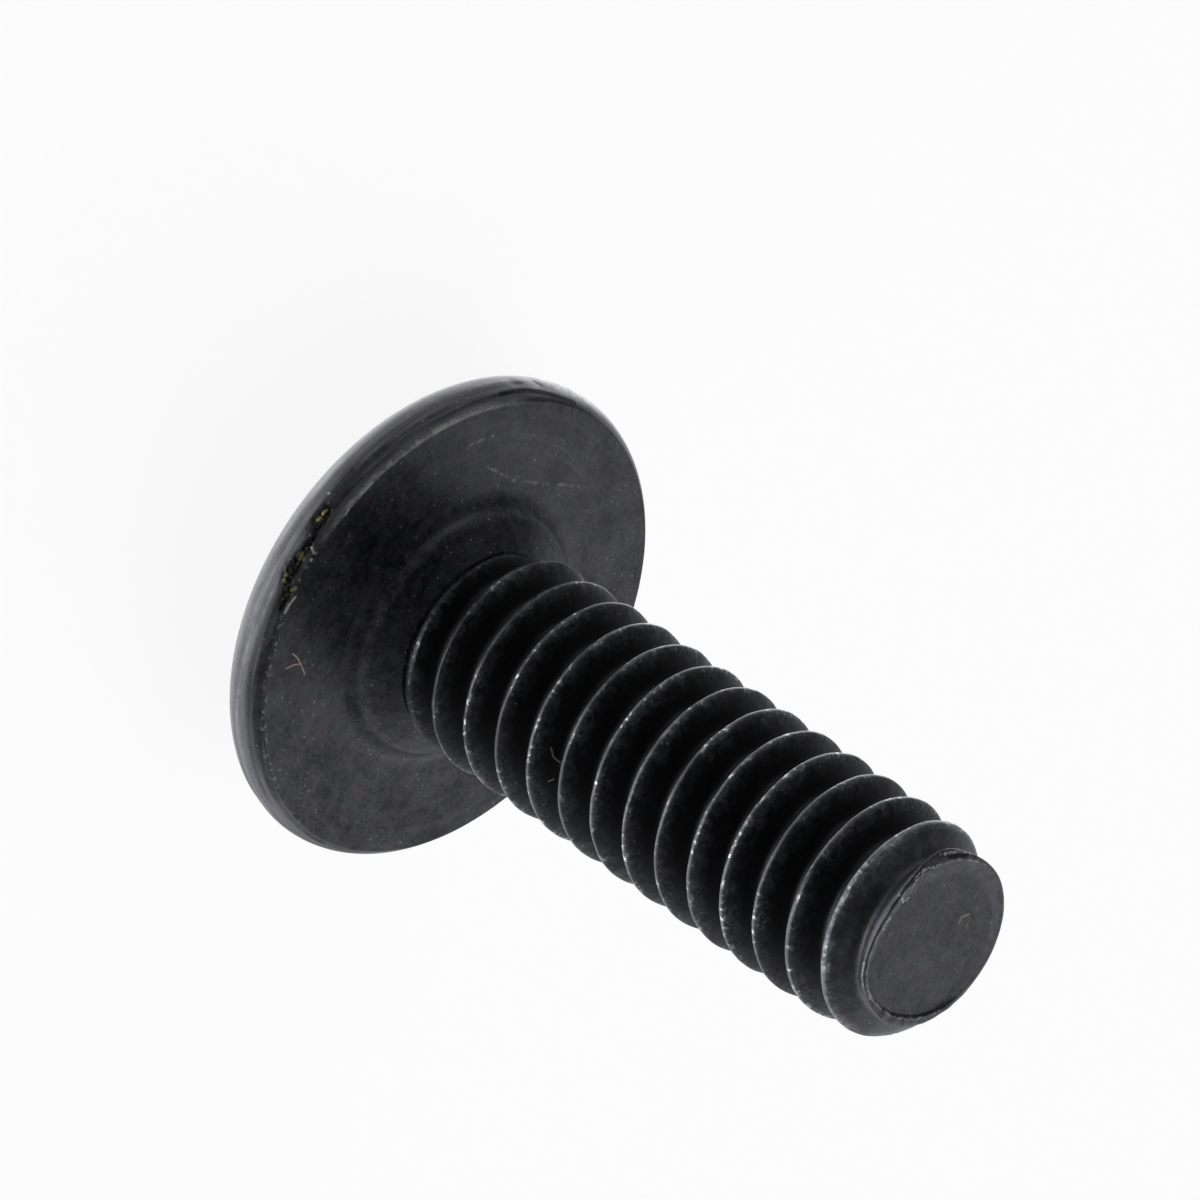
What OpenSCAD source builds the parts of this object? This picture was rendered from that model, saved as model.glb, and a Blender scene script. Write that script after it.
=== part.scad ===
// Truss-head machine screw with a right-hand thread, headed and thread-rolled in one piece.
// It stands on its crown: z is 0 at the crown and runs up the axis to the tip.

/* [Head] */
// Diameter of the head at its widest
head_d = 14.06; // [12.5:0.01:16]
// Height from the crown to the bearing face under the head
head_h = 3.4; // [3:0.1:4.4]
// Diameter of the flat in the middle of the crown
crown_flat_d = 4.6; // [3.6:0.1:5.6]
// Radius of the rounded rim in section
rim_r = 0.92; // [0.75:0.01:1.05]
// Depth of the widest point of the rim below the bearing face
rim_drop = 0.7; // [0.4:0.01:0.72]

/* [Recess] */
// Span of the cross recess at the crown, wing tip to wing tip
recess_span = 6.6; // [5.6:0.1:7.4]
// Depth of the recess
recess_depth = 2.5; // [2:0.1:2.8]
// Width of a wing of the recess
wing_w = 1.3; // [0.9:0.05:1.6]
// Diameter of the recess's middle at the crown
recess_core_d = 3.4; // [2.6:0.1:4]
// Diameter of the recess's middle at its floor
recess_floor_d = 1.6; // [1:0.1:2.2]

/* [Collar] */
// Diameter of the ridge round the collar
collar_ridge_d = 7.18; // [6.8:0.01:7.6]
// Radius of the hollow fillet from the bearing face up to the ridge
collar_fillet_r = 0.35; // [0.2:0.01:0.5]
// Diameter of the collar's upper end
collar_top_d = 5.9; // [5.8:0.05:6.4]
// Height of the collar above the bearing face
collar_h = 1; // [0.8:0.05:1.3]
// Diameter of the bare neck between collar and thread
neck_d = 5.6; // [5.2:0.05:5.7]
// Height of the bare neck
neck_h = 0.06; // [0.04:0.01:0.3]

/* [Thread] */
// Length from the bearing face to the tip
shank_l = 18.8; // [12:0.1:30]
// Diameter over the crests
thread_d = 6.12; // [5.9:0.01:6.35]
// Distance from crest to crest
pitch = 1.27; // [1:0.01:1.5]
// Depth of the thread from crest to root
thread_depth = 0.76; // [0.6:0.01:0.85]
// Width of the flat on a crest
crest_w = 0.14; // [0.08:0.01:0.25]
// Width of the flat in a root
root_w = 0.2; // [0.1:0.01:0.3]
// Direction in which the crest line would leave the bearing face, in degrees
thread_angle = -61.6; // [-180:0.1:180]
// Length over which the thread grows out of the neck
run_in_l = 1.4; // [0.6:0.05:2.5]

/* [Tip] */
// Diameter of the lip round the end
tip_d = 4.84; // [4.6:0.01:5.2]
// Distance by which the rolled end sits off the axis
tip_shift = 0.22; // [0:0.01:0.3]
// Direction in which the end sits off the axis, in degrees
tip_shift_angle = 180; // [-180:1:180]
// Amount by which the last crests stay below the full thread radius
crest_loss = 0.2; // [0:0.01:0.3]
// Length over which the crests stay low
crest_loss_l = 2.4; // [1:0.1:4]
// Height of the lip's straight side
lip_h = 0.06; // [0.03:0.01:0.15]
// Length over which the groove falls away behind the lip
lip_fade_l = 0.3; // [0.2:0.01:0.6]
// Length over which the crests come down to the lip
run_out_l = 0.95; // [0.7:0.05:1.6]
// Width of the lip's flat top
lip_w = 0.14; // [0.08:0.01:0.25]
// Width of the slope from the lip into the dished end
dish_slope_w = 0.2; // [0.1:0.01:0.3]
// Depth of the dished end
dish_depth = 0.1; // [0.05:0.01:0.2]

/* [Hidden] */
$fn = 96;
black_oxide = [0.16, 0.16, 0.17];
cut_margin = 1;

// Section of the rim and the dome that blends into it
rim_x = head_d / 2 - rim_r;
rim_z = head_h - rim_drop;
rim_edge_x = rim_x + sqrt(rim_r ^ 2 - rim_drop ^ 2);
crown_flat_r = crown_flat_d / 2;

// The dome's centre lies on the axis. Its arc starts at the edge of the crown flat and ends tangent
// to the rim's arc, which gives a quadratic equation for the centre's height.
dome_a = (crown_flat_r ^ 2 + rim_r ^ 2 - rim_x ^ 2 - rim_z ^ 2) / (2 * rim_r);
dome_b = rim_z / rim_r;
dome_root = sqrt((dome_a * dome_b) ^ 2 - (dome_b ^ 2 - 1) * (dome_a ^ 2 - crown_flat_r ^ 2));
dome_z = (-dome_a * dome_b + dome_root) / (dome_b ^ 2 - 1);
dome_r = dome_a + dome_b * dome_z;

// Heights along the shank
collar_top_z = head_h + collar_h;
thread_start_z = collar_top_z + neck_h;
tip_z = head_h + shank_l;
seat_z = head_h + collar_h / 2;

// Radii along the shank
neck_r = neck_d / 2;
crest_r = thread_d / 2;
root_r = crest_r - thread_depth;
lip_r = tip_d / 2;

// The threaded surface is a grid: each column runs up the shank, each row follows the helix.
// The spare turns past either end of the thread shrink onto that end's ring.
columns = 40;
spare_turns = 3;
flank_w = (pitch - crest_w - root_w) / 2;
row_steps = [0, crest_w, crest_w + flank_w / 2, crest_w + flank_w, pitch - flank_w, pitch - flank_w / 2];
row_radii = [crest_r, crest_r, (crest_r + root_r) / 2, root_r, root_r, (crest_r + root_r) / 2];
rows_per_turn = len(row_steps);
turn_low = floor((thread_start_z - head_h) / pitch - thread_angle / 360) - spare_turns;
turn_high = ceil((tip_z - head_h) / pitch - thread_angle / 360) + spare_turns;
rows = (turn_high - turn_low) * rows_per_turn;

function mix(from, to, share) = from + (to - from) * share;
function ramp(share) = let (s = max(0, min(1, share))) s * s * (3 - 2 * s);
function on_circle(radius, angle, z) = [radius * cos(angle), radius * sin(angle), z];
function lip_point(radius, angle, z) = on_circle(radius, angle, z) + on_circle(tip_shift, tip_shift_angle, 0);
function column_angle(column) = column * 360 / columns;

// Height of a row at a column, held between the thread's two ends
function row_z(row, column) =
    let (
        turn = turn_low + floor(row / rows_per_turn) + (column_angle(column) - thread_angle) / 360,
        crest_start = head_h + turn * pitch - crest_w / 2
    )
    max(thread_start_z, min(tip_z, crest_start + row_steps[row % rows_per_turn]));

// Radius of the thread, grown out of the neck, with the last crests held down where they aren't filled
function row_r(row, z) =
    let (
        loss = crest_loss * max(0, 1 - (tip_z - z) / crest_loss_l),
        limit = mix(lip_r, crest_r - loss, ramp((tip_z - z) / run_out_l)),
        full = min(row_radii[row % rows_per_turn], limit)
    )
    mix(neck_r, full, ramp((z - thread_start_z) / run_in_l));

// A point of the threaded surface, faded into the lip at the tip
function thread_point(row, column) =
    let (
        z = row_z(row, column),
        angle = column_angle(column),
        thread_share = ramp((tip_z - lip_h - z) / lip_fade_l)
    )
    mix(lip_point(lip_r, angle, z), on_circle(row_r(row, z), angle, z), thread_share);

// The grid, and the plain rings that close it: one seated inside the collar, two across the dished end
dish_r = lip_r - lip_w - dish_slope_w;
thread_points = [
    for (row = [0:rows - 1]) for (column = [0:columns - 1]) thread_point(row, column),
    for (column = [0:columns - 1]) on_circle(neck_r, column_angle(column), seat_z),
    for (column = [0:columns - 1]) lip_point(lip_r - lip_w, column_angle(column), tip_z),
    for (column = [0:columns - 1]) lip_point(dish_r, column_angle(column), tip_z - dish_depth),
];

// Index of a grid point: past the last column a row goes on as the row one turn further up
function grid_index(row, column) =
    column < columns ? row * columns + column : (row + rows_per_turn) * columns + column - columns;
function ring_index(ring, column) = rows * columns + ring * columns + column % columns;
function edge_index(row, column) = row * columns + column % columns;

// The two triangles of a four-sided patch, leaving out any that has shrunk to a line
function is_open(triangle) =
    let (p = [for (i = triangle) thread_points[i]])
    p[0] != p[1] && p[1] != p[2] && p[2] != p[0];
function patch(a, b, c, d) = [for (triangle = [[a, b, c], [a, c, d]]) if (is_open(triangle)) triangle];

thread_faces = [
    for (row = [0:rows - 2]) for (column = [0:columns - 1])
        if (column < columns - 1 || row < rows - 1 - rows_per_turn)
            each patch(grid_index(row, column), grid_index(row + 1, column),
                grid_index(row + 1, column + 1), grid_index(row, column + 1)),
    for (column = [0:columns - 1])
        each patch(ring_index(0, column), edge_index(0, column),
            edge_index(0, column + 1), ring_index(0, column + 1)),
    for (column = [0:columns - 1])
        each patch(edge_index(rows - 1, column), ring_index(1, column),
            ring_index(1, column + 1), edge_index(rows - 1, column + 1)),
    for (column = [0:columns - 1])
        each patch(ring_index(1, column), ring_index(2, column),
            ring_index(2, column + 1), ring_index(1, column + 1)),
    [for (column = [0:columns - 1]) ring_index(0, column)],
    [for (column = [columns - 1:-1:0]) ring_index(2, column)],
];

// Half section of the head: flat crown, dome, rounded rim and flat bearing face
module head_section() {
    outward = [rim_x, rim_z - dome_z] / (dome_r - rim_r);
    past_rim = [rim_x, rim_z] + outward * (rim_r + cut_margin);
    far_x = past_rim[0] + cut_margin;
    intersection() {
        translate([0, dome_z]) circle(r = dome_r);
        polygon([[0, 0], [far_x, 0], past_rim, [rim_x, rim_z], [rim_edge_x, head_h], [0, head_h]]);
    }
    intersection() {
        translate([rim_x, rim_z]) circle(r = rim_r);
        polygon([[rim_x, rim_z], past_rim, [far_x, past_rim[1]], [far_x, head_h], [rim_edge_x, head_h]]);
    }
}

// Half section of the collar: a hollow fillet up to the ridge, then a cone to the neck
module collar_section() {
    ridge_r = collar_ridge_d / 2;
    ridge_z = head_h + collar_fillet_r;
    foot_r = ridge_r + collar_fillet_r;
    difference() {
        polygon([[0, rim_z], [foot_r, rim_z], [foot_r, head_h], [ridge_r, ridge_z],
            [collar_top_d / 2, collar_top_z], [0, collar_top_z]]);
        intersection() {
            translate([foot_r, ridge_z]) circle(r = collar_fillet_r);
            translate([0, head_h]) square([foot_r, collar_fillet_r]);
        }
    }
}

// Cross recess in the crown: four tapering wings round a tapering middle
module recess() {
    translate([0, 0, -cut_margin]) {
        depth = recess_depth + cut_margin;
        core_slope = (recess_core_d - recess_floor_d) / recess_depth;
        wing_slope = (recess_span - recess_floor_d) / recess_depth;
        cylinder(h = depth, d1 = recess_core_d + core_slope * cut_margin, d2 = recess_floor_d);
        intersection() {
            cylinder(h = depth, d1 = recess_span + wing_slope * cut_margin, d2 = recess_floor_d);
            for (turn = [0, 90])
                rotate(turn)
                    translate([-recess_span, -wing_w / 2, 0])
                        cube([2 * recess_span, wing_w, depth]);
        }
    }
}

module screw() {
    color(black_oxide) {
        difference() {
            rotate_extrude() {
                head_section();
                collar_section();
            }
            recess();
        }
        polyhedron(points = thread_points, faces = thread_faces, convexity = 12);
    }
}

screw();
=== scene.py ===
"""Truss-head machine screw in black oxide steel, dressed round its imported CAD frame.

It stands on its crown at z = 0 with the thread upwards. It is modelled in millimetres and brought
to metres when it is whole.
"""
import math

import bpy
from mathutils import Matrix, Vector, noise


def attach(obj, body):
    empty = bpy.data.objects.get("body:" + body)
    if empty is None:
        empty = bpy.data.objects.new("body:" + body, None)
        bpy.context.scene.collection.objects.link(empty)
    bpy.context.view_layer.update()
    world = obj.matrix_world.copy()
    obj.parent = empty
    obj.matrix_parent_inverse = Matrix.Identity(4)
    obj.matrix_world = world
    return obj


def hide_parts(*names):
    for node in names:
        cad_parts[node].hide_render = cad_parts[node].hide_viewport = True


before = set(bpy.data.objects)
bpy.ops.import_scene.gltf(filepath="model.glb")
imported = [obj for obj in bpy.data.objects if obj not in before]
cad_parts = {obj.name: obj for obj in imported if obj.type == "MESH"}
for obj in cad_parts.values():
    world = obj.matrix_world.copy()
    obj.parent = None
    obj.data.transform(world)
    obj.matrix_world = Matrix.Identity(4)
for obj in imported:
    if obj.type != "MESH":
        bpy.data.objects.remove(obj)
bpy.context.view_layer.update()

# Head: a wide, low truss head, upset from the end of the steel wire in a die. The crown is a dome
# with a small flat, the rim is rolled round, and the flat bearing face meets it at a crisp edge.
HEAD_R, HEAD_H = 7.022, 3.4
HEAD_SEGMENTS = 360
CROWN_FLAT_R = 2.3
RIM_R, RIM_DROP = 0.92, 0.7
RIM_X, RIM_Z = HEAD_R - RIM_R, HEAD_H - RIM_DROP
EDGE_ROUND = 0.05


def arc(centre, radius, start_deg, end_deg, steps):
    """Points of a section along an arc, its start left out."""
    angles = [math.radians(start_deg + (end_deg - start_deg) * i / steps) for i in range(1, steps + 1)]
    return [(centre[0] + radius * math.cos(a), centre[1] + radius * math.sin(a)) for a in angles]


def straight(start, end, steps):
    """Points of a section along a straight line, its start left out."""
    shares = [i / steps for i in range(1, steps + 1)]
    return [(start[0] + (end[0] - start[0]) * s, start[1] + (end[1] - start[1]) * s) for s in shares]


def turn_up(section, centre=(0.0, 0.0)):
    """Extrudes the selected open ring from one section point to the next, as on a lathe."""
    for (r0, z0), (r1, z1) in zip(section, section[1:]):
        bpy.ops.mesh.extrude_region_move(TRANSFORM_OT_translate={"value": (0, 0, z1 - z0)})
        share = r1 / r0
        bpy.ops.transform.resize(value=(share, share, 1), center_override=(*centre, z1))


# the dome's centre lies on the axis, and its arc ends tangent to the rim's
dome_a = (CROWN_FLAT_R ** 2 + RIM_R ** 2 - RIM_X ** 2 - RIM_Z ** 2) / (2 * RIM_R)
dome_b = RIM_Z / RIM_R
dome_root = math.sqrt((dome_a * dome_b) ** 2 - (dome_b ** 2 - 1) * (dome_a ** 2 - CROWN_FLAT_R ** 2))
DOME_Z = (dome_root - dome_a * dome_b) / (dome_b ** 2 - 1)
DOME_R = dome_a + dome_b * DOME_Z
dome_start = math.degrees(math.asin(-DOME_Z / DOME_R))
dome_end = math.degrees(math.atan2(RIM_Z - DOME_Z, RIM_X))

# the crisp edge is a small arc, tangent to the rim and to the bearing face
edge_in = math.sqrt((RIM_R - EDGE_ROUND) ** 2 - (RIM_DROP - EDGE_ROUND) ** 2)
EDGE_X = RIM_X + edge_in
rim_end = math.degrees(math.atan2(RIM_DROP - EDGE_ROUND, edge_in))

head_section = [(CROWN_FLAT_R, 0.0)] + arc((0, DOME_Z), DOME_R, dome_start, dome_end, 14)
head_section += arc((RIM_X, RIM_Z), RIM_R, dome_end, rim_end, 20)
head_section += arc((EDGE_X, HEAD_H - EDGE_ROUND), EDGE_ROUND, rim_end, 90, 3)

# Collar: the low boss that the die leaves under the head. A hollow fillet rises from the bearing face
# to a soft ridge, and a cone goes on to a narrow gap, where the thread starts.
FILLET_R, FILLET_DEG = 0.6, 60
FILLET_FOOT_R = 4.15
RIDGE_ROUND = 0.4
COLLAR_TOP_R, COLLAR_TOP_Z = 2.81, HEAD_H + 1.0
COLLAR_ROUND = 0.04
GAP_R, GAP_Z = 2.68, COLLAR_TOP_Z + 0.02
THREAD_START_Z = COLLAR_TOP_Z + 0.06

fillet = arc((FILLET_FOOT_R, HEAD_H + FILLET_R), FILLET_R, 270, 270 - FILLET_DEG, 8)
ridge_centre = (
    fillet[-1][0] - RIDGE_ROUND * math.sin(math.radians(FILLET_DEG)),
    fillet[-1][1] - RIDGE_ROUND * math.cos(math.radians(FILLET_DEG)))
ridge = arc(ridge_centre, RIDGE_ROUND, 90 - FILLET_DEG, 45, 3)
head_section += straight((EDGE_X, HEAD_H), (FILLET_FOOT_R, HEAD_H), 10)
head_section += fillet + ridge
head_section += straight(ridge[-1], (COLLAR_TOP_R, COLLAR_TOP_Z - COLLAR_ROUND), 6)
head_section += [(COLLAR_TOP_R - COLLAR_ROUND, COLLAR_TOP_Z)]
head_section += straight(head_section[-1], (GAP_R, GAP_Z), 3)

bpy.ops.object.select_all(action="DESELECT")
bpy.ops.mesh.primitive_circle_add(vertices=HEAD_SEGMENTS, radius=CROWN_FLAT_R, fill_type="NGON")
screw = bpy.context.object
screw.name = screw.data.name = "screw_body"
bpy.ops.object.mode_set(mode="EDIT")
bpy.ops.mesh.select_all(action="SELECT")
bpy.ops.mesh.region_to_loop()
turn_up(head_section)
bpy.ops.mesh.edge_face_add()
bpy.ops.mesh.select_all(action="SELECT")
bpy.ops.mesh.normals_make_consistent(inside=False)
bpy.ops.object.mode_set(mode="OBJECT")

# Recess: a plain cross for a driver, punched into the crown. Four wings slope down to a round floor.
RECESS_SPAN, RECESS_DEPTH = 6.6, 2.5
WING_W, WING_FLOOR_R, WING_DEPTH = 1.3, 0.6, 2.2
CORE_R, CORE_FLOOR_R = 1.7, 0.8
WING_OUT, CORE_OUT = 1.0, 0.8


def cut_with(piece, cutter, operation):
    """Joins, cuts or crosses a piece with another, which is used up."""
    bpy.ops.object.select_all(action="DESELECT")
    bpy.context.view_layer.objects.active = piece
    piece.select_set(True)
    bpy.ops.object.modifier_add(type="BOOLEAN")
    cut = piece.modifiers[-1]
    cut.operation, cut.object, cut.solver = operation, cutter, "EXACT"
    bpy.ops.object.modifier_apply(modifier=cut.name)
    bpy.data.objects.remove(cutter)


def punch_cone(mouth_r, floor_r, depth, out, segments):
    """Cone of the punch: a radius at the crown, down to its floor, and the same slope outside."""
    slope = (mouth_r - floor_r) / depth
    bpy.ops.object.select_all(action="DESELECT")
    bpy.ops.mesh.primitive_cone_add(
        vertices=segments, radius1=mouth_r + slope * out, radius2=floor_r,
        depth=depth + out, location=(0, 0, (depth - out) / 2))
    return bpy.context.object


def punch_slab(size):
    """Slab as wide as a pair of wings."""
    bpy.ops.object.select_all(action="DESELECT")
    bpy.ops.mesh.primitive_cube_add(size=1, location=(0, 0, 0))
    slab = bpy.context.object
    slab.scale = size
    bpy.ops.object.transform_apply(location=False, rotation=False, scale=True)
    return slab


# the parts of the punch differ a little in length, so that no two of their faces lie in one plane
wings = punch_slab((4 * RECESS_SPAN, WING_W, 4 * RECESS_DEPTH))
cut_with(wings, punch_slab((WING_W, 4 * RECESS_SPAN, 5 * RECESS_DEPTH)), "UNION")
wing_cone = punch_cone(RECESS_SPAN / 2, WING_FLOOR_R, WING_DEPTH, WING_OUT, 74)
cut_with(wings, wing_cone, "INTERSECT")
cut_with(wings, punch_cone(CORE_R, CORE_FLOOR_R, RECESS_DEPTH, CORE_OUT, 96), "UNION")
cut_with(screw, wings, "DIFFERENCE")


def select_vertices(piece, wanted):
    """Leaves selected, in edit mode, the vertices of a piece whose place passes the test."""
    bpy.ops.object.mode_set(mode="OBJECT")
    for item in (*piece.data.vertices, *piece.data.edges, *piece.data.polygons):
        item.select = False
    for vertex in piece.data.vertices:
        vertex.select = wanted(vertex.co)
    bpy.ops.object.mode_set(mode="EDIT")
    bpy.ops.mesh.select_mode(type="VERT")


# the face that closed the collar for the cut comes out again
select_vertices(screw, lambda co: co.z > GAP_Z - 0.001)
bpy.ops.mesh.select_mode(type="FACE")
bpy.ops.mesh.delete(type="ONLY_FACE")
bpy.ops.object.mode_set(mode="OBJECT")

# Thread: right hand, rolled between flat dies, which leaves crests with small rounded flats. The first
# crests under the collar and the last ones at the tip aren't filled by the dies.
PITCH = 1.27
CREST_R, ROOT_R = 3.06, 2.3
CREST_W, ROOT_W = 0.12, 0.2
FLANK_W = (PITCH - CREST_W - ROOT_W) / 2
CREST_BEVEL, ROOT_BEVEL = 0.045, 0.09
FLANK_FROM_R, FLANK_TO_R = ROOT_R + 0.07, CREST_R - 0.03
THREAD_ANGLE = -61.6
THREAD_STEPS = 180
SPARE_TURNS = 2
TIP_Z = HEAD_H + 18.8

low_turn = math.floor((THREAD_START_Z - HEAD_H) / PITCH + THREAD_ANGLE / 360) - SPARE_TURNS
turns = math.ceil((TIP_Z - HEAD_H) / PITCH + THREAD_ANGLE / 360) + SPARE_TURNS - low_turn
first_crest_z = HEAD_H + (low_turn - THREAD_ANGLE / 360) * PITCH

bpy.ops.object.select_all(action="DESELECT")
bpy.ops.mesh.primitive_plane_add(size=0.1, location=(0, 0, 0))
thread = bpy.context.object
bpy.ops.object.mode_set(mode="EDIT")
bpy.ops.mesh.select_mode(type="VERT")
bpy.ops.mesh.select_all(action="SELECT")
bpy.ops.mesh.merge(type="CENTER")
bpy.ops.transform.translate(value=(CREST_R, 0, first_crest_z))
flank_top, flank_foot = CREST_W / 2, CREST_W / 2 + FLANK_W
thread_section = [
    (CREST_R, 0), (CREST_R, flank_top), (ROOT_R, flank_foot), (ROOT_R, PITCH / 2),
    (ROOT_R, PITCH - flank_foot), (CREST_R, PITCH - flank_top), (CREST_R, PITCH)]
for (r0, z0), (r1, z1) in zip(thread_section, thread_section[1:]):
    bpy.ops.mesh.extrude_region_move(TRANSFORM_OT_translate={"value": (r1 - r0, 0, z1 - z0)})
bpy.ops.object.mode_set(mode="OBJECT")


def rise_from_crest(co):
    """Distance along the axis from the nearer crest's middle, in the drawn section."""
    rise = co.z - first_crest_z
    return min(rise, PITCH - rise)


select_vertices(thread, lambda co: co.x > CREST_R - 1e-4 and rise_from_crest(co) > flank_top - 1e-4)
bpy.ops.mesh.bevel(offset=CREST_BEVEL, segments=3, affect="VERTICES")
select_vertices(thread, lambda co: co.x < ROOT_R + 1e-4 and rise_from_crest(co) < flank_foot + 1e-4)
bpy.ops.mesh.bevel(offset=ROOT_BEVEL, segments=2, affect="VERTICES")
select_vertices(thread, lambda co: FLANK_FROM_R < co.x < FLANK_TO_R)
bpy.ops.mesh.subdivide(number_cuts=3)
bpy.ops.object.mode_set(mode="OBJECT")

bpy.ops.object.modifier_add(type="SCREW")
sweep = thread.modifiers[-1]
sweep.axis = "Z"
sweep.angle = 2 * math.pi
sweep.screw_offset = PITCH
sweep.iterations = turns
sweep.steps = sweep.render_steps = THREAD_STEPS
sweep.use_merge_vertices = True
sweep.merge_threshold = 1e-4
bpy.ops.object.modifier_apply(modifier=sweep.name)
bpy.ops.object.mode_set(mode="EDIT")
bpy.ops.mesh.select_all(action="SELECT")
bpy.ops.mesh.remove_doubles(threshold=1e-4)
bpy.ops.object.mode_set(mode="OBJECT")

RUN_IN_START_R, RUN_IN_L, RUN_IN_FADE_L = 2.72, 1.3, 0.12
LIP_R, LIP_CENTRE = 2.42, Vector((-0.22, 0, 0))
LIP_H, LIP_FADE_L = 0.06, 0.3
CREST_LOSS, CREST_LOSS_L, RUN_OUT_L = 0.08, 2.4, 0.85
CREST_ROUND, LAST_CREST_ROUND = 0.05, 0.5
LAST_ROUND_FROM, LAST_ROUND_L = 0.6, 1.2
# where the end's outline bulges: the last crest runs out through it, and the dies pinched it
LIP_BULGES = ((-134, 24, 0.34), (-45, 16, 0.11), (70, 55, 0.08))
# crests are uneven: slow waves, small nicks, a sway along the axis, and a few burrs that were pushed up
CREST_BAND, CREST_BAND_FADE = 0.09, 0.07
WAVE_H, WAVES_PER_MM = 0.012, 1.7
NICK_DEPTH, NICKS_PER_MM, NICK_LEAST = 0.05, 4.1, 0.42
SWAY, SWAYS_PER_MM, SWAY_SEED = 0.014, 1.3, Vector((9, 4, 2))
CREST_BURRS = ((-145.6, 7.98, 0.07), (-128, 19.0, 0.05), (-150, 16.6, 0.04), (-100, 20.3, 0.05))
BURR_REACH, BURR_MOST = 0.12, 0.06


def mix(start, end, share):
    """Value a share of the way from start to end."""
    return start + (end - start) * share


def ramp(share):
    """Smooth rise from 0 to 1 as share goes from 0 to 1."""
    share = max(0.0, min(1.0, share))
    return share * share * (3 - 2 * share)


def soft_least(a, b, width):
    """The smaller of two values, rounded over where they are closer than width."""
    share = max(0.0, min(1.0, 0.5 + 0.5 * (b - a) / width))
    return mix(b, a, share) - width * share * (1 - share)


def turn_between(angle, middle):
    """Turn from one direction to another, in degrees, by the shorter way."""
    return (angle - middle + 180) % 360 - 180


def crest_limit(z):
    """Radius that the crests reach at a height above the crown."""
    unfilled = 1 - max(0.0, min(1.0, (z - THREAD_START_Z) / RUN_IN_L))
    under_collar = mix(CREST_R, RUN_IN_START_R, unfilled ** 3)
    loss = CREST_LOSS * max(0.0, 1 - (TIP_Z - z) / CREST_LOSS_L)
    at_tip = mix(LIP_R, CREST_R - loss, ramp((TIP_Z - z) / RUN_OUT_L))
    return min(under_collar, at_tip)


def filled(radius, z):
    """Radius that a place of the drawn section is left with, where the dies don't fill the crests."""
    limit = crest_limit(z)
    rounding = mix(LAST_CREST_ROUND, CREST_ROUND, ramp((TIP_Z - z - LAST_ROUND_FROM) / LAST_ROUND_L))
    return soft_least(radius, limit, rounding) if limit < CREST_R - 0.001 else radius


def lip_outline(direction):
    """Radius of the end's outline about its own middle, with the places where it bulges."""
    angle = math.degrees(math.atan2(direction.y, direction.x))
    return LIP_R + sum(h * math.exp(-(turn_between(angle, middle) / w) ** 2) for middle, w, h in LIP_BULGES)


for vertex in thread.data.vertices:
    outward = Vector((vertex.co.x, vertex.co.y, 0))
    radius, z = outward.length, vertex.co.z
    outward /= radius
    on_crest = ramp((radius - CREST_R + CREST_BAND) / CREST_BAND_FADE)
    full = filled(radius, z)
    spot = outward * CREST_R + Vector((0, 0, z))
    wave = WAVE_H * noise.noise(spot * WAVES_PER_MM)
    wave -= NICK_DEPTH * max(0.0, noise.noise(spot * NICKS_PER_MM) - NICK_LEAST)
    for burr_deg, burr_z, burr_h in CREST_BURRS:
        burr_dir = math.radians(burr_deg)
        burr = Vector((CREST_R * math.cos(burr_dir), CREST_R * math.sin(burr_dir), burr_z))
        wave += burr_h * math.exp(-((spot - burr).length / BURR_REACH) ** 2)
    full += min(wave, CREST_R + BURR_MOST - full) * on_crest
    grown = mix(GAP_R, full, ramp((z - THREAD_START_Z) / RUN_IN_FADE_L))
    on_lip = LIP_CENTRE + outward * lip_outline(outward)
    in_thread = ramp((TIP_Z - LIP_H - z) / LIP_FADE_L)
    sway = SWAY * noise.noise(spot * SWAYS_PER_MM + SWAY_SEED) * on_crest * in_thread
    vertex.co = on_lip.lerp(outward * grown, in_thread) + Vector((0, 0, z + sway))

# Tip: cut off square and cupped by the rolling, which turned its edge up into an uneven lip that stands
# a little off the axis round the dished end.
LIP_ROUND = 0.05
LIP_W, DISH_SLOPE_W, DISH_DEPTH = 0.1, 0.07, 0.09
DISH_R, DISH_HUB_R = LIP_R - LIP_W - DISH_SLOPE_W, 0.2

bpy.ops.object.mode_set(mode="EDIT")
bpy.ops.mesh.select_all(action="SELECT")
bpy.ops.mesh.bisect(
    plane_co=(0, 0, THREAD_START_Z), plane_no=(0, 0, 1), clear_inner=True, threshold=1e-6)
bpy.ops.mesh.select_all(action="SELECT")
bpy.ops.mesh.bisect(
    plane_co=(0, 0, TIP_Z - LIP_ROUND), plane_no=(0, 0, 1), clear_outer=True, threshold=1e-6)
bpy.ops.mesh.select_mode(type="EDGE")
tip_section = [(LIP_R, TIP_Z - LIP_ROUND)]
tip_section += arc((LIP_R - LIP_ROUND, TIP_Z - LIP_ROUND), LIP_ROUND, 0, 90, 4)
tip_section += straight(tip_section[-1], (LIP_R - LIP_W, TIP_Z), 2)
tip_section += straight(tip_section[-1], (DISH_R, TIP_Z - DISH_DEPTH), 4)
tip_section += straight(tip_section[-1], (DISH_HUB_R, TIP_Z - DISH_DEPTH), 12)
turn_up(tip_section, LIP_CENTRE[:2])
bpy.ops.mesh.edge_face_add()
bpy.ops.object.mode_set(mode="OBJECT")

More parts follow.
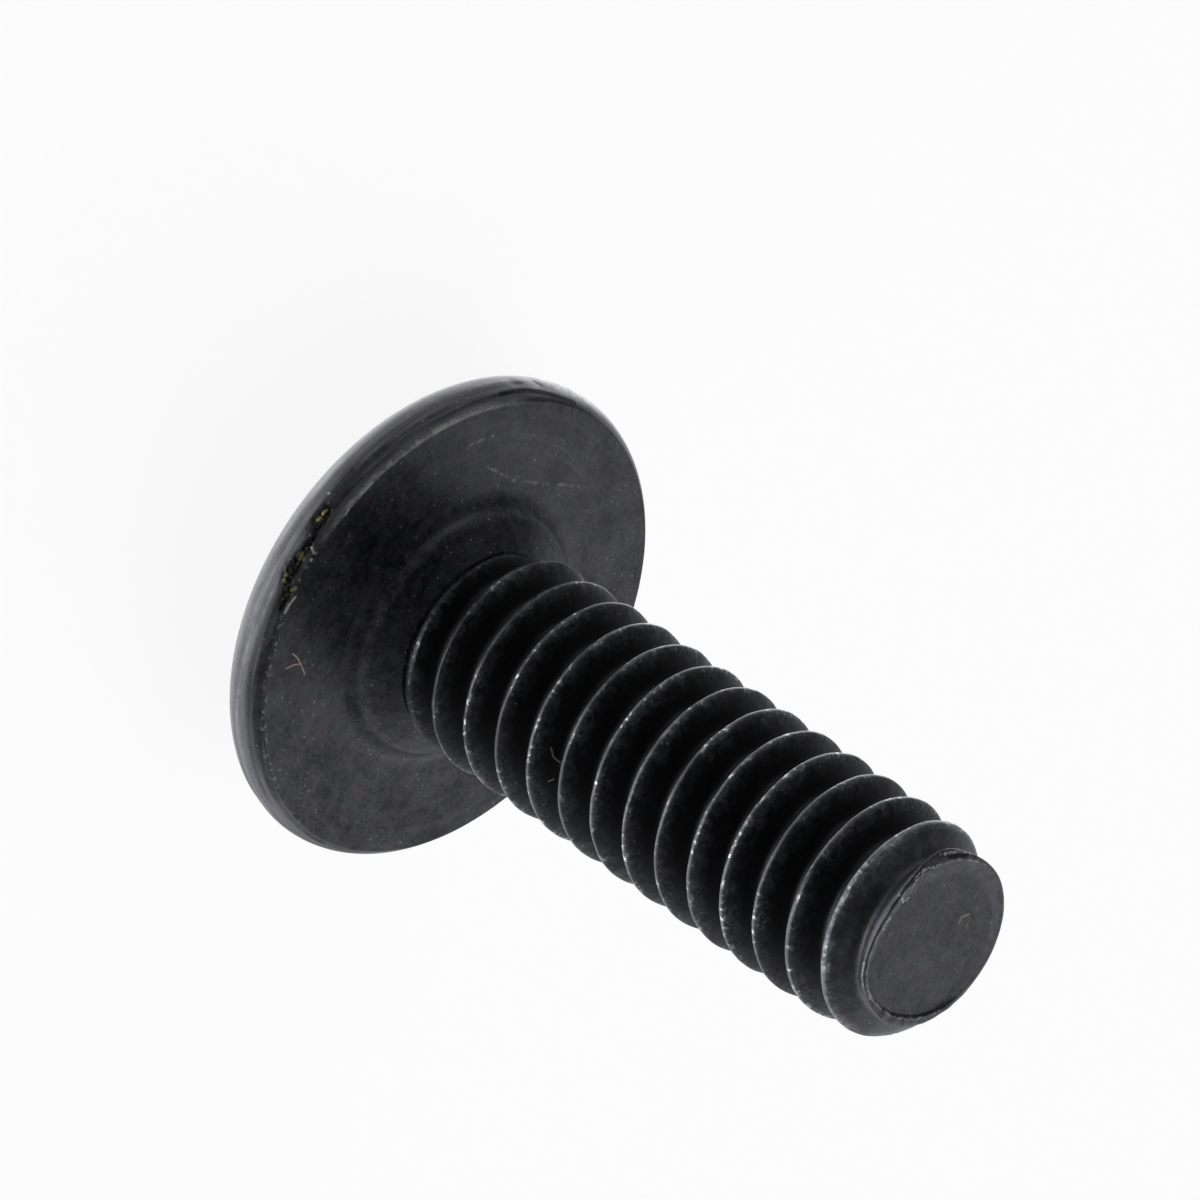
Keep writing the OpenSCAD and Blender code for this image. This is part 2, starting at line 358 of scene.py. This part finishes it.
# the lip stands full at the bottom and where the last crest runs out, and is worn low elsewhere; it is
# broad at the bottom, and the last crest leaves a shelf that falls away outside it
LIP_STANDS = ((18, 45, 1.0), (-138, 30, 1.0), (-40, 26, 0.75), (-88, 24, 0.6))
LIP_LEAST = 0.12
LIP_RAGGED, RAGS_ROUND = 0.45, 9.0
LIP_BROADS = ((20, 38, 0.15), (-138, 20, 0.24))
BROAD_NOISE, BROADS_ROUND, BROAD_SEED = 0.03, 7.0, Vector((3, 1, 8))
SHELF_DEG, SHELF_REACH, SHELF_DROP = -140, 24, 0.12
WALL_Z, FLOOR_Z = TIP_Z - 0.35, TIP_Z - DISH_DEPTH
LIP_MARK_REACH = 0.02
crown_share = 1 - LIP_W / LIP_R
lip_mark = thread.data.attributes.new("lip", "FLOAT", "POINT")
for vertex, mark in zip(thread.data.vertices, lip_mark.data):
    if vertex.co.z < WALL_Z:
        continue
    from_middle = vertex.co - LIP_CENTRE
    angle = math.degrees(math.atan2(from_middle.y, from_middle.x))
    share = from_middle.xy.length / lip_outline(from_middle)
    on_end = vertex.co.z > FLOOR_Z - 1e-4 and share < 0.999
    stand = max(s * math.exp(-(turn_between(angle, m) / w) ** 2) for m, w, s in LIP_STANDS)
    round_end = Vector((from_middle.x, from_middle.y, 0)).normalized()
    ragged = 1 + LIP_RAGGED * noise.noise(round_end * RAGS_ROUND)
    lip_top = min(TIP_Z, FLOOR_Z + DISH_DEPTH * max(stand, LIP_LEAST) * ragged)
    if on_end and share < crown_share + 1e-3:
        vertex.co.z = FLOOR_Z + (vertex.co.z - FLOOR_Z) * (lip_top - FLOOR_Z) / DISH_DEPTH
    else:
        vertex.co.z = WALL_Z + (vertex.co.z - WALL_Z) * (lip_top - WALL_Z) / (TIP_Z - WALL_Z)
        shelf = SHELF_DROP * math.exp(-(turn_between(angle, SHELF_DEG) / SHELF_REACH) ** 2)
        beyond = ramp((share - crown_share) / (1 - crown_share)) if on_end else 1.0
        vertex.co.z -= shelf * beyond * ramp((vertex.co.z - WALL_Z) / (TIP_Z - WALL_Z))
    if on_end:
        broad = sum(w * math.exp(-(turn_between(angle, m) / reach) ** 2) for m, reach, w in LIP_BROADS)
        broad += BROAD_NOISE * noise.noise(round_end * BROADS_ROUND + BROAD_SEED)
        vertex.co -= round_end * broad * ramp((1 - share) / (1 - crown_share)) * ramp(share / 0.9)
        mark.value = ramp(1 - abs(share - crown_share) / LIP_MARK_REACH) * ramp(3 * stand)

bpy.ops.object.select_all(action="DESELECT")
thread.select_set(True)
screw.select_set(True)
bpy.context.view_layer.objects.active = screw
bpy.ops.object.join()
bpy.ops.object.mode_set(mode="EDIT")
bpy.ops.mesh.select_mode(type="EDGE")
bpy.ops.mesh.select_all(action="DESELECT")
bpy.ops.mesh.select_non_manifold(
    use_wire=False, use_boundary=True, use_multi_face=False, use_non_contiguous=False, use_verts=False)
bpy.ops.mesh.bridge_edge_loops()
bpy.ops.mesh.select_all(action="SELECT")
bpy.ops.mesh.remove_doubles(threshold=1e-5)
bpy.ops.mesh.normals_make_consistent(inside=False)
bpy.ops.object.mode_set(mode="OBJECT")

# Scar: a rough, pitted strip on the rim, where the skin of the wire tore in the die. Four shallow dents
# are knocked into the rim on either side of it.
SCAR_PATCHES = ((-93, 23, 6, 16), (-85, 31, 7, 9), (-80, 27, 6, 16), (-74, 38, 5, 10))
SCAR_DEPTH, SCAR_CUTS = 0.034, 3
PITS_PER_MM, FINE_PITS_PER_MM = 5.0, 11.0
RIM_INNER_R, RIM_TOP_Z = EDGE_X - 0.1, HEAD_H + 0.001
DENTS = ((-153, 10, 0.16, 0.03), (-160, 12, 0.22, 0.025), (-14, 5, 0.5, 0.03), (-110, -5, 0.5, 0.015))


def rim_place(co):
    """Direction round the head and direction in the rim's section, in degrees."""
    out = math.hypot(co.x, co.y)
    return math.degrees(math.atan2(co.y, co.x)), math.degrees(math.atan2(co.z - RIM_Z, out - RIM_X))


def off_rim(co):
    """Whether a place lies inside or above the rim."""
    return co.z > RIM_TOP_Z or math.hypot(co.x, co.y) < RIM_INNER_R


def in_scar(co):
    """Share of the scar's depth at a place: 1 in its middle, 0 outside it."""
    if off_rim(co):
        return 0.0
    direction, section = rim_place(co)
    return max(
        ramp(2 - 2 * math.hypot(turn_between(direction, middle) / reach, (section - height) / spread))
        for middle, height, reach, spread in SCAR_PATCHES)


select_vertices(screw, lambda co: in_scar(co) > 0)
bpy.ops.mesh.select_mode(type="FACE")
bpy.ops.mesh.subdivide(number_cuts=SCAR_CUTS)
bpy.ops.object.mode_set(mode="OBJECT")
scar_mark = screw.data.attributes.new("scar", "FLOAT", "POINT")
for vertex, mark in zip(screw.data.vertices, scar_mark.data):
    if off_rim(vertex.co):
        continue
    spot = vertex.co.copy()
    direction, section = rim_place(spot)
    depth = 0.0
    mark.value = in_scar(spot)
    if mark.value > 0:
        pits = 0.5 + 0.5 * noise.noise(spot * PITS_PER_MM) + 0.5 * noise.noise(spot * FINE_PITS_PER_MM)
        depth += mark.value * max(0.0, SCAR_DEPTH * pits)
    for dent_deg, dent_section, dent_r, dent_depth in DENTS:
        along = math.radians(turn_between(direction, dent_deg)) * HEAD_R
        across = math.radians(section - dent_section) * RIM_R
        depth += dent_depth * math.exp(-(along ** 2 + across ** 2) / dent_r ** 2)
    if depth > 0:
        inward = Vector((-math.cos(math.radians(direction)), -math.sin(math.radians(direction)), 0))
        down = math.sin(math.radians(section))
        vertex.co += depth * (inward * math.cos(math.radians(section)) - Vector((0, 0, down)))

# the whole screw is brought to metres, and left smooth but for its edges
MM = 0.001
SMOOTH_DEG = 32
screw.scale = (MM, MM, MM)
bpy.ops.object.transform_apply(location=True, rotation=True, scale=True)
bpy.ops.object.shade_smooth_by_angle(angle=math.radians(SMOOTH_DEG))

# Black oxide: a thin dark layer grown on the steel in a hot bath and oiled. It is satin, faintly mottled,
# rubbed through to bare steel along the crests and the bearing edge, and a little dusty.
RUB_DEPTH = 0.55
RUB_END_Z, RUB_END_FADE_L = TIP_Z - 0.15, 0.25
crest_share = screw.data.attributes.new("crest", "FLOAT", "POINT")
for vertex, share in zip(screw.data.vertices, crest_share.data):
    radius, z = math.hypot(vertex.co.x, vertex.co.y) / MM, vertex.co.z / MM
    in_thread = ramp((z - THREAD_START_Z) / RUN_IN_FADE_L) * ramp((RUB_END_Z - z) / RUB_END_FADE_L)
    share.value = max(0.0, 1 - (filled(CREST_R, z) - radius) / RUB_DEPTH) * in_thread


class Wire:
    """A value that runs through a finish's nodes; arithmetic on it adds Math nodes."""

    def __init__(self, tree, socket=None):
        self.tree, self.socket = tree, socket

    def node(self, kind, settings=(), inputs=(), output=0):
        """Adds a node of a kind: its settings are set first, then the values or links of its sockets."""
        made = self.tree.nodes.new(kind)
        for name, value in dict(settings).items():
            setattr(made, name, value)
        for key, value in dict(inputs).items():
            if isinstance(value, Wire):
                self.tree.links.new(value.socket, made.inputs[key])
            else:
                made.inputs[key].default_value = value
        return Wire(self.tree, made.outputs[output] if made.outputs else None)

    def other(self, output):
        """Another output of the node that this value comes from."""
        return Wire(self.tree, self.socket.node.outputs[output])

    def maths(self, operation, *values):
        return self.node("ShaderNodeMath", {"operation": operation}, dict(enumerate(values)))

    def vector(self, operation, *values, output=0):
        return self.node("ShaderNodeVectorMath", {"operation": operation}, dict(enumerate(values)), output)

    def __add__(self, other):
        return self.maths("ADD", self, other)

    def __radd__(self, other):
        return self.maths("ADD", other, self)

    def __sub__(self, other):
        return self.maths("SUBTRACT", self, other)

    def __rsub__(self, other):
        return self.maths("SUBTRACT", other, self)

    def __mul__(self, other):
        return self.maths("MULTIPLY", self, other)

    def __rmul__(self, other):
        return self.maths("MULTIPLY", other, self)

    def __truediv__(self, other):
        return self.maths("DIVIDE", self, other)


def between(value, low, high):
    """Mask that goes smoothly from 0 at low to 1 at high, where either may be the larger."""
    return value.node("ShaderNodeMapRange", {"interpolation_type": "SMOOTHSTEP"},
                      {"Value": value, "From Min": low, "From Max": high})


def near(value, middle, reach):
    """Mask that is 1 at a value and fades to 0 at a reach from it."""
    return between(value.maths("ABSOLUTE", value - middle), reach, 0.0)


def grain(place, per_mm, detail=3.0, rough=0.55):
    """Soft noise from 0 to 1 with so many waves a millimetre."""
    return place.node("ShaderNodeTexNoise", {}, {
        "Vector": place, "Scale": per_mm, "Detail": detail, "Roughness": rough})


def paint(under, over, mask):
    """Colour laid over another through a mask."""
    return mask.node("ShaderNodeMix", {"data_type": "RGBA"}, {0: mask, 6: under, 7: over}, 2)


def most(*masks):
    """The strongest of some masks at each place."""
    strongest = masks[0]
    for mask in masks[1:]:
        strongest = strongest.maths("MAXIMUM", strongest, mask)
    return strongest


def scaled(direction, length):
    """A vector, or a wire that carries one, times a length."""
    wire = direction if isinstance(direction, Wire) else length
    return wire.node("ShaderNodeVectorMath", {"operation": "SCALE"}, {0: direction, "Scale": length})


def colour(red, green, blue):
    return (red, green, blue, 1.0)


finish = bpy.data.materials.new("black_oxide_finish")
finish.use_nodes = True
tree = finish.node_tree
tree.nodes.clear()
start = Wire(tree)
metres = start.node("ShaderNodeTexCoord", output=3)
place = scaled(metres, 1 / MM)
x = start.node("ShaderNodeSeparateXYZ", {}, {0: place})
y, z = x.other(1), x.other(2)
radius = start.maths("SQRT", x * x + y * y)
crest = start.node("ShaderNodeAttribute", {"attribute_name": "crest"}, output=2)
lip = start.node("ShaderNodeAttribute", {"attribute_name": "lip"}, output=2)
scar = start.node("ShaderNodeAttribute", {"attribute_name": "scar"}, output=2)


def facing(middle, reach):
    """Mask of a side of the screw: 1 in a direction, 0 at a reach from it, in degrees."""
    turn = math.radians(middle)
    cosine = (x * math.cos(turn) + y * math.sin(turn)) / radius
    return between(cosine, math.cos(math.radians(reach)), 1.0)


# masks of the screw's parts
FACE_LOW_Z, FACE_Z = HEAD_H - 0.02, HEAD_H - 0.002
RIDGE_R = 3.58
section = start.maths("ARCTAN2", z - RIM_Z, radius - RIM_X) * (180 / math.pi)
on_rim = between(radius, RIM_X + 0.2, RIM_X + 0.4) * between(z, FACE_Z, FACE_LOW_Z)
on_thread = between(radius, CREST_R + 0.24, CREST_R + 0.09)
on_thread = on_thread * between(z, COLLAR_TOP_Z, COLLAR_TOP_Z + 0.05)
on_thread = on_thread * between(z, RUB_END_Z, RUB_END_Z - 0.15)
on_face = between(z, FACE_LOW_Z, FACE_Z) * between(radius, FILLET_FOOT_R - 0.2, FILLET_FOOT_R + 0.1)
on_ridge = near(radius, RIDGE_R, 0.2) * between(z, HEAD_H + 0.1, HEAD_H + 0.3)
on_end_edge = between(radius, 2.05, 2.25) * between(z, TIP_Z - 0.4, TIP_Z - 0.2)
by_the_end = between(z, TIP_Z - 2.2, TIP_Z - 1.2)

# the oxide is cloudy on the open faces
PURPLE_OXIDE, GREEN_OXIDE = colour(0.072, 0.059, 0.080), colour(0.051, 0.066, 0.066)
DARK_OXIDE = colour(0.0035, 0.0035, 0.0045)
mottle = grain(place, 0.9, 4.0)
cloud = grain(place, 3.4, 4.0, 0.65)
fleck = grain(place, 10.0, 3.0, 0.6)
tint = between(grain(place, 2.3, 3.0, 0.6), 0.40, 0.60)
tone = between(mottle * 0.3 + cloud * 0.4 + fleck * 0.3, 0.36, 0.64)
oxide = paint(DARK_OXIDE, paint(PURPLE_OXIDE, GREEN_OXIDE, tint), tone)

# marks that run round the screw: noise on the direction, so that it has no seam
STREAK_GREY = colour(0.21, 0.21, 0.23)
STREAKS_ROUND, STREAKS_ACROSS = 2.2, 5.0
round_marks = start.node("ShaderNodeCombineXYZ", {}, {
    0: x / radius * STREAKS_ROUND, 1: y / radius * STREAKS_ROUND, 2: (radius - z) * STREAKS_ACROSS})
streak = grain(round_marks, 1.0, 3.0)
# the streaks are stronger on a ring on one side of the bearing face: painted light there
ring_sheen = near(radius, 5.5, 0.4) * facing(-165, 40) * on_face
rounds = between(streak + 0.1 * on_rim, 0.46, 0.8) * (0.15 + 0.85 * on_rim + 0.3 * ring_sheen)
oxide = paint(oxide, STREAK_GREY, rounds)

# a painted highlight lies grey along the collar's ridge, and it is rubbed grey round the end's edge
RIDGE_LIGHT_AND_RUB_GREY = colour(0.15, 0.15, 0.17)
worn = between(cloud * 0.6 + fleck * 0.4, 0.40, 0.62)
oxide = paint(oxide, RIDGE_LIGHT_AND_RUB_GREY, most(on_ridge, on_end_edge) * (0.25 + 0.5 * worn))

# painted shade near black in the grooves; painted grey light near the crests, most on the last flank
GROOVE_SHADE_BLACK = colour(0.006, 0.006, 0.007)
PURPLE_CREST_LIGHT, GREEN_CREST_LIGHT = colour(0.16, 0.145, 0.17), colour(0.13, 0.16, 0.16)
drift = between(mottle, 0.44, 0.6)
crest_light = between(crest + 0.5 * by_the_end, 0.05, 0.95) * (worn + (1 - worn) * 0.5 * by_the_end)
crest_light = crest_light * (0.35 + 0.4 * drift + 0.25 * by_the_end)
groove_shade = paint(GROOVE_SHADE_BLACK, paint(PURPLE_CREST_LIGHT, GREEN_CREST_LIGHT, tint), crest_light)
base = paint(oxide, groove_shade, on_thread)

# bare steel on the crests, in dots and patches along them; on one side of the rim, a painted highlight
BARE_STEEL, RIM_HIGHLIGHT_STEEL = colour(0.47, 0.50, 0.51), colour(0.45, 0.45, 0.44)
crest_line = between(crest, 0.76, 0.94)
dots = between(grain(place, 6.5, 2.0), 0.54, 0.66)
patches = between(grain(place, 0.9, 4.0, 0.65), 0.40, 0.58)
# on the last crests more bare steel, partly a painted highlight there
bare = crest_line * (0.05 + 0.15 * patches + 0.8 * dots * patches + 0.3 * by_the_end * worn)
# painted highlight: bright metal on one side of the rim, where the light catches it
rim_highlight = on_rim * facing(178, 34) * between(section, 46, 22) * (0.5 + 0.5 * worn)

# the edge of the bearing face is pale: a painted highlight, partly wear, on one side, and broken wear
# further round; the torn edge of the end is worn pale too
PALE_WEAR_AND_HIGHLIGHT = colour(0.85, 0.85, 0.85)
edge_line = near(radius, EDGE_X + 0.02, 0.13) * between(z, HEAD_H - 0.14, HEAD_H - 0.05)
# painted highlight, partly wear, along one side of the edge; pale wear in dots further round
edge_highlight_and_wear = edge_line * facing(-121, 36) * (0.35 + 0.65 * worn) + edge_line * facing(-60, 60) * dots * 0.4
torn_edge = between(lip, 0.25, 0.9) * worn * 0.5


def specks(per_mm, size, least):
    """Scatter of pale specks, where small balls meet the surface: so many a millimetre, some left out."""
    balls = start.node("ShaderNodeTexVoronoi", {}, {"Vector": place, "Scale": per_mm})
    pick = start.node("ShaderNodeSeparateColor", {}, {0: balls.other("Color")})
    return between(balls, size * per_mm, 0.4 * size * per_mm) * between(pick, least, least + 0.2)


# dust: fine specks in drifts and a few larger ones, mostly on the open faces
DUST_GREY = colour(0.70, 0.70, 0.68)
dust = most(specks(5.3, 0.034, 0.2) * (0.06 + 0.94 * drift), specks(1.9, 0.045, 0.35) * 0.9)
dust = dust * (1 - on_thread * (1 - 0.8 * between(crest, 0.3, 0.8))) * (0.35 + 0.65 * worn)


def stroke(begin, end, width):
    """Mask of a thin line between two places, with soft edges."""
    along = Vector(end) - Vector(begin)
    offset = place.vector("SUBTRACT", place, begin)
    travel = place.vector("DOT_PRODUCT", offset, tuple(along / along.length_squared), output=1)
    travel = travel.maths("MINIMUM", travel.maths("MAXIMUM", travel, 0.0), 1.0)
    away = place.vector("LENGTH", place.vector("SUBTRACT", offset, scaled(tuple(along), travel)), output=1)
    return between(away, width, width * 0.4)


def hairs(width, *chains):
    """Mask of fine lines of a width, each along a chain of places."""
    return most(*(stroke(begin, end, width) for chain in chains for begin, end in zip(chain, chain[1:])))


# lint: a small pink tuft lying on the bearing face, and pale fibres caught on the thread
TUFT_PINK, FIBRE_BUFF = colour(0.75, 0.46, 0.41), colour(0.45, 0.42, 0.37)
LINT_W = 0.03
tuft = hairs(
    LINT_W, ((2.99, -5.15, HEAD_H), (3.02, -4.87, HEAD_H), (3.10, -4.64, HEAD_H), (3.27, -4.25, HEAD_H)),
    ((3.10, -4.64, HEAD_H), (3.23, -4.86, HEAD_H), (3.41, -5.02, HEAD_H)))
fibre = hairs(
    LINT_W, ((1.22, -2.32, 10.08), (1.39, -2.11, 10.16), (1.41, -1.9, 10.27)),
    ((2.0, -1.7, 10.16), (1.86, -1.66, 10.23)))

# painted highlights: glints on bare metal in the scar and at the bearing edge; yellowish crumbs in the scar
GLINT_PALE, CRUMB_YELLOW = colour(0.80, 0.80, 0.74), colour(0.34, 0.31, 0.12)
GLINT_W, CRUMB_W = 0.05, 0.06
glint = hairs(
    GLINT_W, ((-1.03, -6.94, 2.80), (-1.04, -6.93, 2.82)), ((-0.83, -6.58, HEAD_H), (-1.0, -6.6, HEAD_H)),
    ((-1.55, -6.49, HEAD_H), (-1.9, -6.41, HEAD_H)), ((0.40, -6.81, 3.27), (0.48, -6.73, 3.36)),
    ((1.71, -6.38, HEAD_H), (1.9, -6.41, HEAD_H)), ((1.95, -6.41, 3.39), (2.22, -6.35, 3.38)),
    ((0.66, -6.69, 3.38), (0.69, -6.68, 3.38)))
crumb = hairs(
    CRUMB_W, ((-0.5, -6.92, 3.03), (-0.64, -6.91, 3.05)), ((-0.29, -6.93, 3.03), (-0.38, -6.92, 3.05)),
    ((0.7, -6.86, 3.12), (0.81, -6.83, 3.16)), ((1.62, -6.57, 3.31), (1.5, -6.56, 3.37)))
crumb = most(crumb, scar * between(fleck * 0.5 + cloud * 0.5, 0.54, 0.62) * 0.7)

# pale marks: scratches on the bearing face, painted highlights along the burr on the end's torn edge, and a
# grey smear on the last flank
SMEAR_GREY = colour(0.20, 0.205, 0.235)
SCRATCH_W, BURR_W, SMEAR_W = 0.06, 0.06, 0.5
scratch = hairs(
    SCRATCH_W, ((-3.99, -2.78, HEAD_H), (-4.11, -1.43, HEAD_H), (-4.97, 0.95, HEAD_H)),
    ((-4.2, -3.9, HEAD_H), (-4.75, -3.3, HEAD_H)))
# painted highlights along the burr on the end's torn edge
burr = hairs(
    BURR_W, ((-1.88, -1.81, 22.19), (-1.55, -2.19, 22.14), (-1.28, -2.29, 22.14), (-1.08, -2.13, 22.11)),
    ((-0.68, -2.43, 22.09), (-0.59, -2.08, 22.11), (-0.73, -2.02, 22.11)),
    ((-0.04, -2.19, 22.11), (0.27, -2.17, 22.11)),
    ((1.28, -2.0, 22.08), (1.69, -1.64, 22.11), (1.92, -0.98, 22.15)),
    ((-2.13, -1.89, 22.10), (-2.46, -1.33, 22.08), (-2.62, -0.8, 22.08)))
pale = most(edge_highlight_and_wear, torn_edge, scratch * worn * 0.25, burr * between(fleck, 0.4, 0.56) * 0.75)
smear = hairs(SMEAR_W, ((-0.9, -2.49, 21.33), (-1.38, -2.24, 21.29), (-1.85, -1.93, 21.23)))
smear = smear * (0.3 + 0.7 * worn)

# black marks: a painted band of shade and two nicks along the top of the rim, the scar, a line along the
# lip, and a gouge in the end with a pale ridge
BLACK_MARK_AND_SHADE, GOUGE_OLIVE = colour(0.002, 0.002, 0.002), colour(0.30, 0.28, 0.16)
MARK_W, GOUGE_DARK_W, GOUGE_W = 0.10, 0.08, 0.05
# painted shade: the first line is a dark band along the top of the rim
rim_shade_nicks_and_lip = hairs(
    MARK_W, ((-5.76, -3.78, 3.18), (-6.2, -3.07, 3.13), (-6.47, -2.31, 3.2), (-6.73, -1.08, 3.28)),
    ((-6.17, -3.28, 2.87), (-6.35, -2.95, 2.88)), ((-6.58, -2.38, 2.78), (-6.6, -2.26, 2.94)),
    ((-2.21, -1.59, 22.14), (-2.51, -0.99, 22.12)))
gouge_dark = hairs(
    GOUGE_DARK_W, ((-0.80, 0.20, FLOOR_Z), (-1.08, 0.14, FLOOR_Z)),
    ((-1.34, 0.60, FLOOR_Z), (-1.27, 0.84, FLOOR_Z)))
black = most(rim_shade_nicks_and_lip * 0.9, scar, gouge_dark * between(fleck, 0.3, 0.6) * 0.8)
gouge = hairs(GOUGE_W, ((-0.95, 0.44, FLOOR_Z), (-1.11, 0.39, FLOOR_Z), (-1.27, 0.58, FLOOR_Z)))

rim_highlight = rim_highlight * (1 - black)
for shade, mask in (
        (RIM_HIGHLIGHT_STEEL, rim_highlight), (BLACK_MARK_AND_SHADE, black * 0.9), (CRUMB_YELLOW, crumb * 0.75),
        (SMEAR_GREY, smear * 0.7), (PALE_WEAR_AND_HIGHLIGHT, pale), (GOUGE_OLIVE, gouge * 0.8), (DUST_GREY, dust * 0.8),
        (GLINT_PALE, glint * 0.9), (BARE_STEEL, bare), (TUFT_PINK, tuft * 0.85), (FIBRE_BUFF, fibre * 0.8)):
    base = paint(base, shade, mask)

# dry oxide hardly shines: in the dark clouds and in the black marks it is mixed as a dark metal, which has
# little gloss; in the grooves and on one side of the bearing face the same dark metal is painted shade;
# what does shine is faintly blue
# painted shade: the grooves lose their gloss
groove_shade_dull = on_thread * between(crest, 0.93, 0.42) * (0.65 - 0.4 * by_the_end)
# the dark clouds are dull, and one side of the bearing face is dulled as painted shade
face_dull_and_shade = (1 - tone) * (0.5 - 0.5 * on_thread) + facing(10, 70) * on_face * 0.35
dull = most(groove_shade_dull, face_dull_and_shade, black) * (1 - pale) * (1 - smear)
metal = most(bare, rim_highlight, dull * 0.8)
roughness = 0.38 + 0.14 * cloud - 0.06 * bare + 0.3 * dust
GLOSS_BLUE = colour(0.91, 0.92, 1.0)

GRAIN_DEPTH = 0.002 * MM
height = grain(place, 11.0, 2.0) + 0.6 * streak + 0.7 * cloud
bump = start.node("ShaderNodeBump", {}, {"Strength": 1.0, "Distance": GRAIN_DEPTH, "Height": height})
shader = start.node("ShaderNodeBsdfPrincipled", {}, {
    "Base Color": base, "Roughness": roughness, "Metallic": metal, "Normal": bump,
    "Specular Tint": GLOSS_BLUE})
start.node("ShaderNodeOutputMaterial", {}, {"Surface": shader})

screw.data.materials.clear()
screw.data.materials.append(finish)
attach(screw, "root")
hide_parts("screw")

# Light: soft boxes round a dark room, each with its direction, tightness and strength. Those below shine
# up through the board that the screw stands on, and the side where the camera stands is left open and dark.
SOFT_BOXES = (
    ((0.39, -0.33, -0.86), 2.5, 2.3), ((-0.5, 0.55, -0.67), 9.0, 3.5), ((0.0, -0.1, -0.99), 9.0, 3.0),
    ((0.91, 0.25, -0.33), 14.0, 1.7), ((0.52, -0.74, -0.42), 14.0, 4.5),
    ((-0.864, -0.461, 0.205), 14.0, 1.4), ((0.61, 0.2, 0.77), 2.5, 0.22), ((0.1, 0.8, 0.6), 8.0, 1.0),
    ((0.122, 0.989, 0.077), 10.0, 0.8))
OPEN_SIDE, OPEN_FROM, OPEN_FULL, OPEN_DARK = (0.0, -0.79, 0.613), 0.5, 0.72, 0.95
scene = bpy.context.scene
scene.view_settings.view_transform = "Standard"
scene.cycles.max_bounces, scene.cycles.diffuse_bounces, scene.cycles.glossy_bounces = 4, 2, 3
scene.cycles.adaptive_threshold, scene.cycles.adaptive_min_samples = 0.02, 12
tent = bpy.data.worlds.new("light_tent")
scene.world = tent
tent.use_nodes = True
tent.node_tree.nodes.clear()
tent_start = Wire(tent.node_tree)


def tent_share(direction):
    """Brightness of the soft boxes in a direction."""
    total = 0.0
    for middle, tightness, strength in SOFT_BOXES:
        cosine = direction.vector("DOT_PRODUCT", direction, tuple(Vector(middle).normalized()), output=1)
        total = total + strength * cosine.maths("EXPONENT", (cosine - 1) * tightness)
    return total


sky = tent_start.node("ShaderNodeTexCoord", output=0)
sky_camera = tent_start.node("ShaderNodeLightPath", output=0)
open_side = tent_start.vector("DOT_PRODUCT", sky, OPEN_SIDE, output=1)
sky_share = tent_share(sky) * (1 - OPEN_DARK * between(open_side, OPEN_FROM, OPEN_FULL))
sky_white = tent_start.maths("MAXIMUM", sky_share, sky_camera)
sky_glow = tent_start.node("ShaderNodeBackground", {}, {"Color": sky_white, "Strength": 1.0})
tent_start.node("ShaderNodeOutputWorld", {}, {"Surface": sky_glow})

# Floor: a plain white board. The camera sees it white with a faint shadow, and the screw's gloss sees the
# soft boxes through it.
BOARD_SIZE, BOARD_COLOUR = 3, colour(0.9, 0.9, 0.9)
BOARD_WHITE, BOARD_SEEN = 1.28, 0.7
bpy.ops.object.select_all(action="DESELECT")
bpy.ops.mesh.primitive_plane_add(size=BOARD_SIZE, location=(0, 0, 0))
floor = bpy.context.object
floor.name = "floor"
board = bpy.data.materials.new("white_board")
board.use_nodes = True
board.cycles.emission_sampling = "NONE"
board.node_tree.nodes.clear()
board_start = Wire(board.node_tree)
seen = board_start.node("ShaderNodeLightPath", output=0)
glossy = seen.other("Is Glossy Ray")
incoming = board_start.node("ShaderNodeNewGeometry", output=4)
onward = scaled(incoming, -1.0)
glow = seen * BOARD_WHITE + glossy * tent_share(onward)
glow_share = seen * BOARD_SEEN + glossy
matt = board_start.node("ShaderNodeBsdfDiffuse", {}, {"Color": BOARD_COLOUR})
white = board_start.node("ShaderNodeEmission", {}, {"Color": colour(1, 1, 1), "Strength": glow})
board_face = board_start.node("ShaderNodeMixShader", {}, {0: glow_share, 1: matt, 2: white})
board_start.node("ShaderNodeOutputMaterial", {}, {"Surface": board_face})
floor.data.materials.append(board)

# Camera: a long lens above the tip's side, rolled so that the screw lies across the picture.
LENS, SENSOR_W, ROLL_DEG = 329.489, 36, 123.67
CAMERA_PLACE, CAMERA_AIM = Vector((0.0, -0.230225, 0.185488)), Vector((-0.0027363, 0.0, 0.0068851))
NEAREST, FARTHEST = 0.01, 20
eye = bpy.data.cameras.new("camera")
camera = bpy.data.objects.new("camera", eye)
scene.collection.objects.link(camera)
eye.lens, eye.sensor_width = LENS, SENSOR_W
eye.clip_start, eye.clip_end = NEAREST, FARTHEST
camera.location = CAMERA_PLACE
look = (CAMERA_AIM - CAMERA_PLACE).to_track_quat("-Z", "Y").to_matrix().to_4x4()
camera.rotation_euler = (look @ Matrix.Rotation(math.radians(ROLL_DEG), 4, "Z")).to_euler()
scene.camera = camera

bpy.context.view_layer.update()
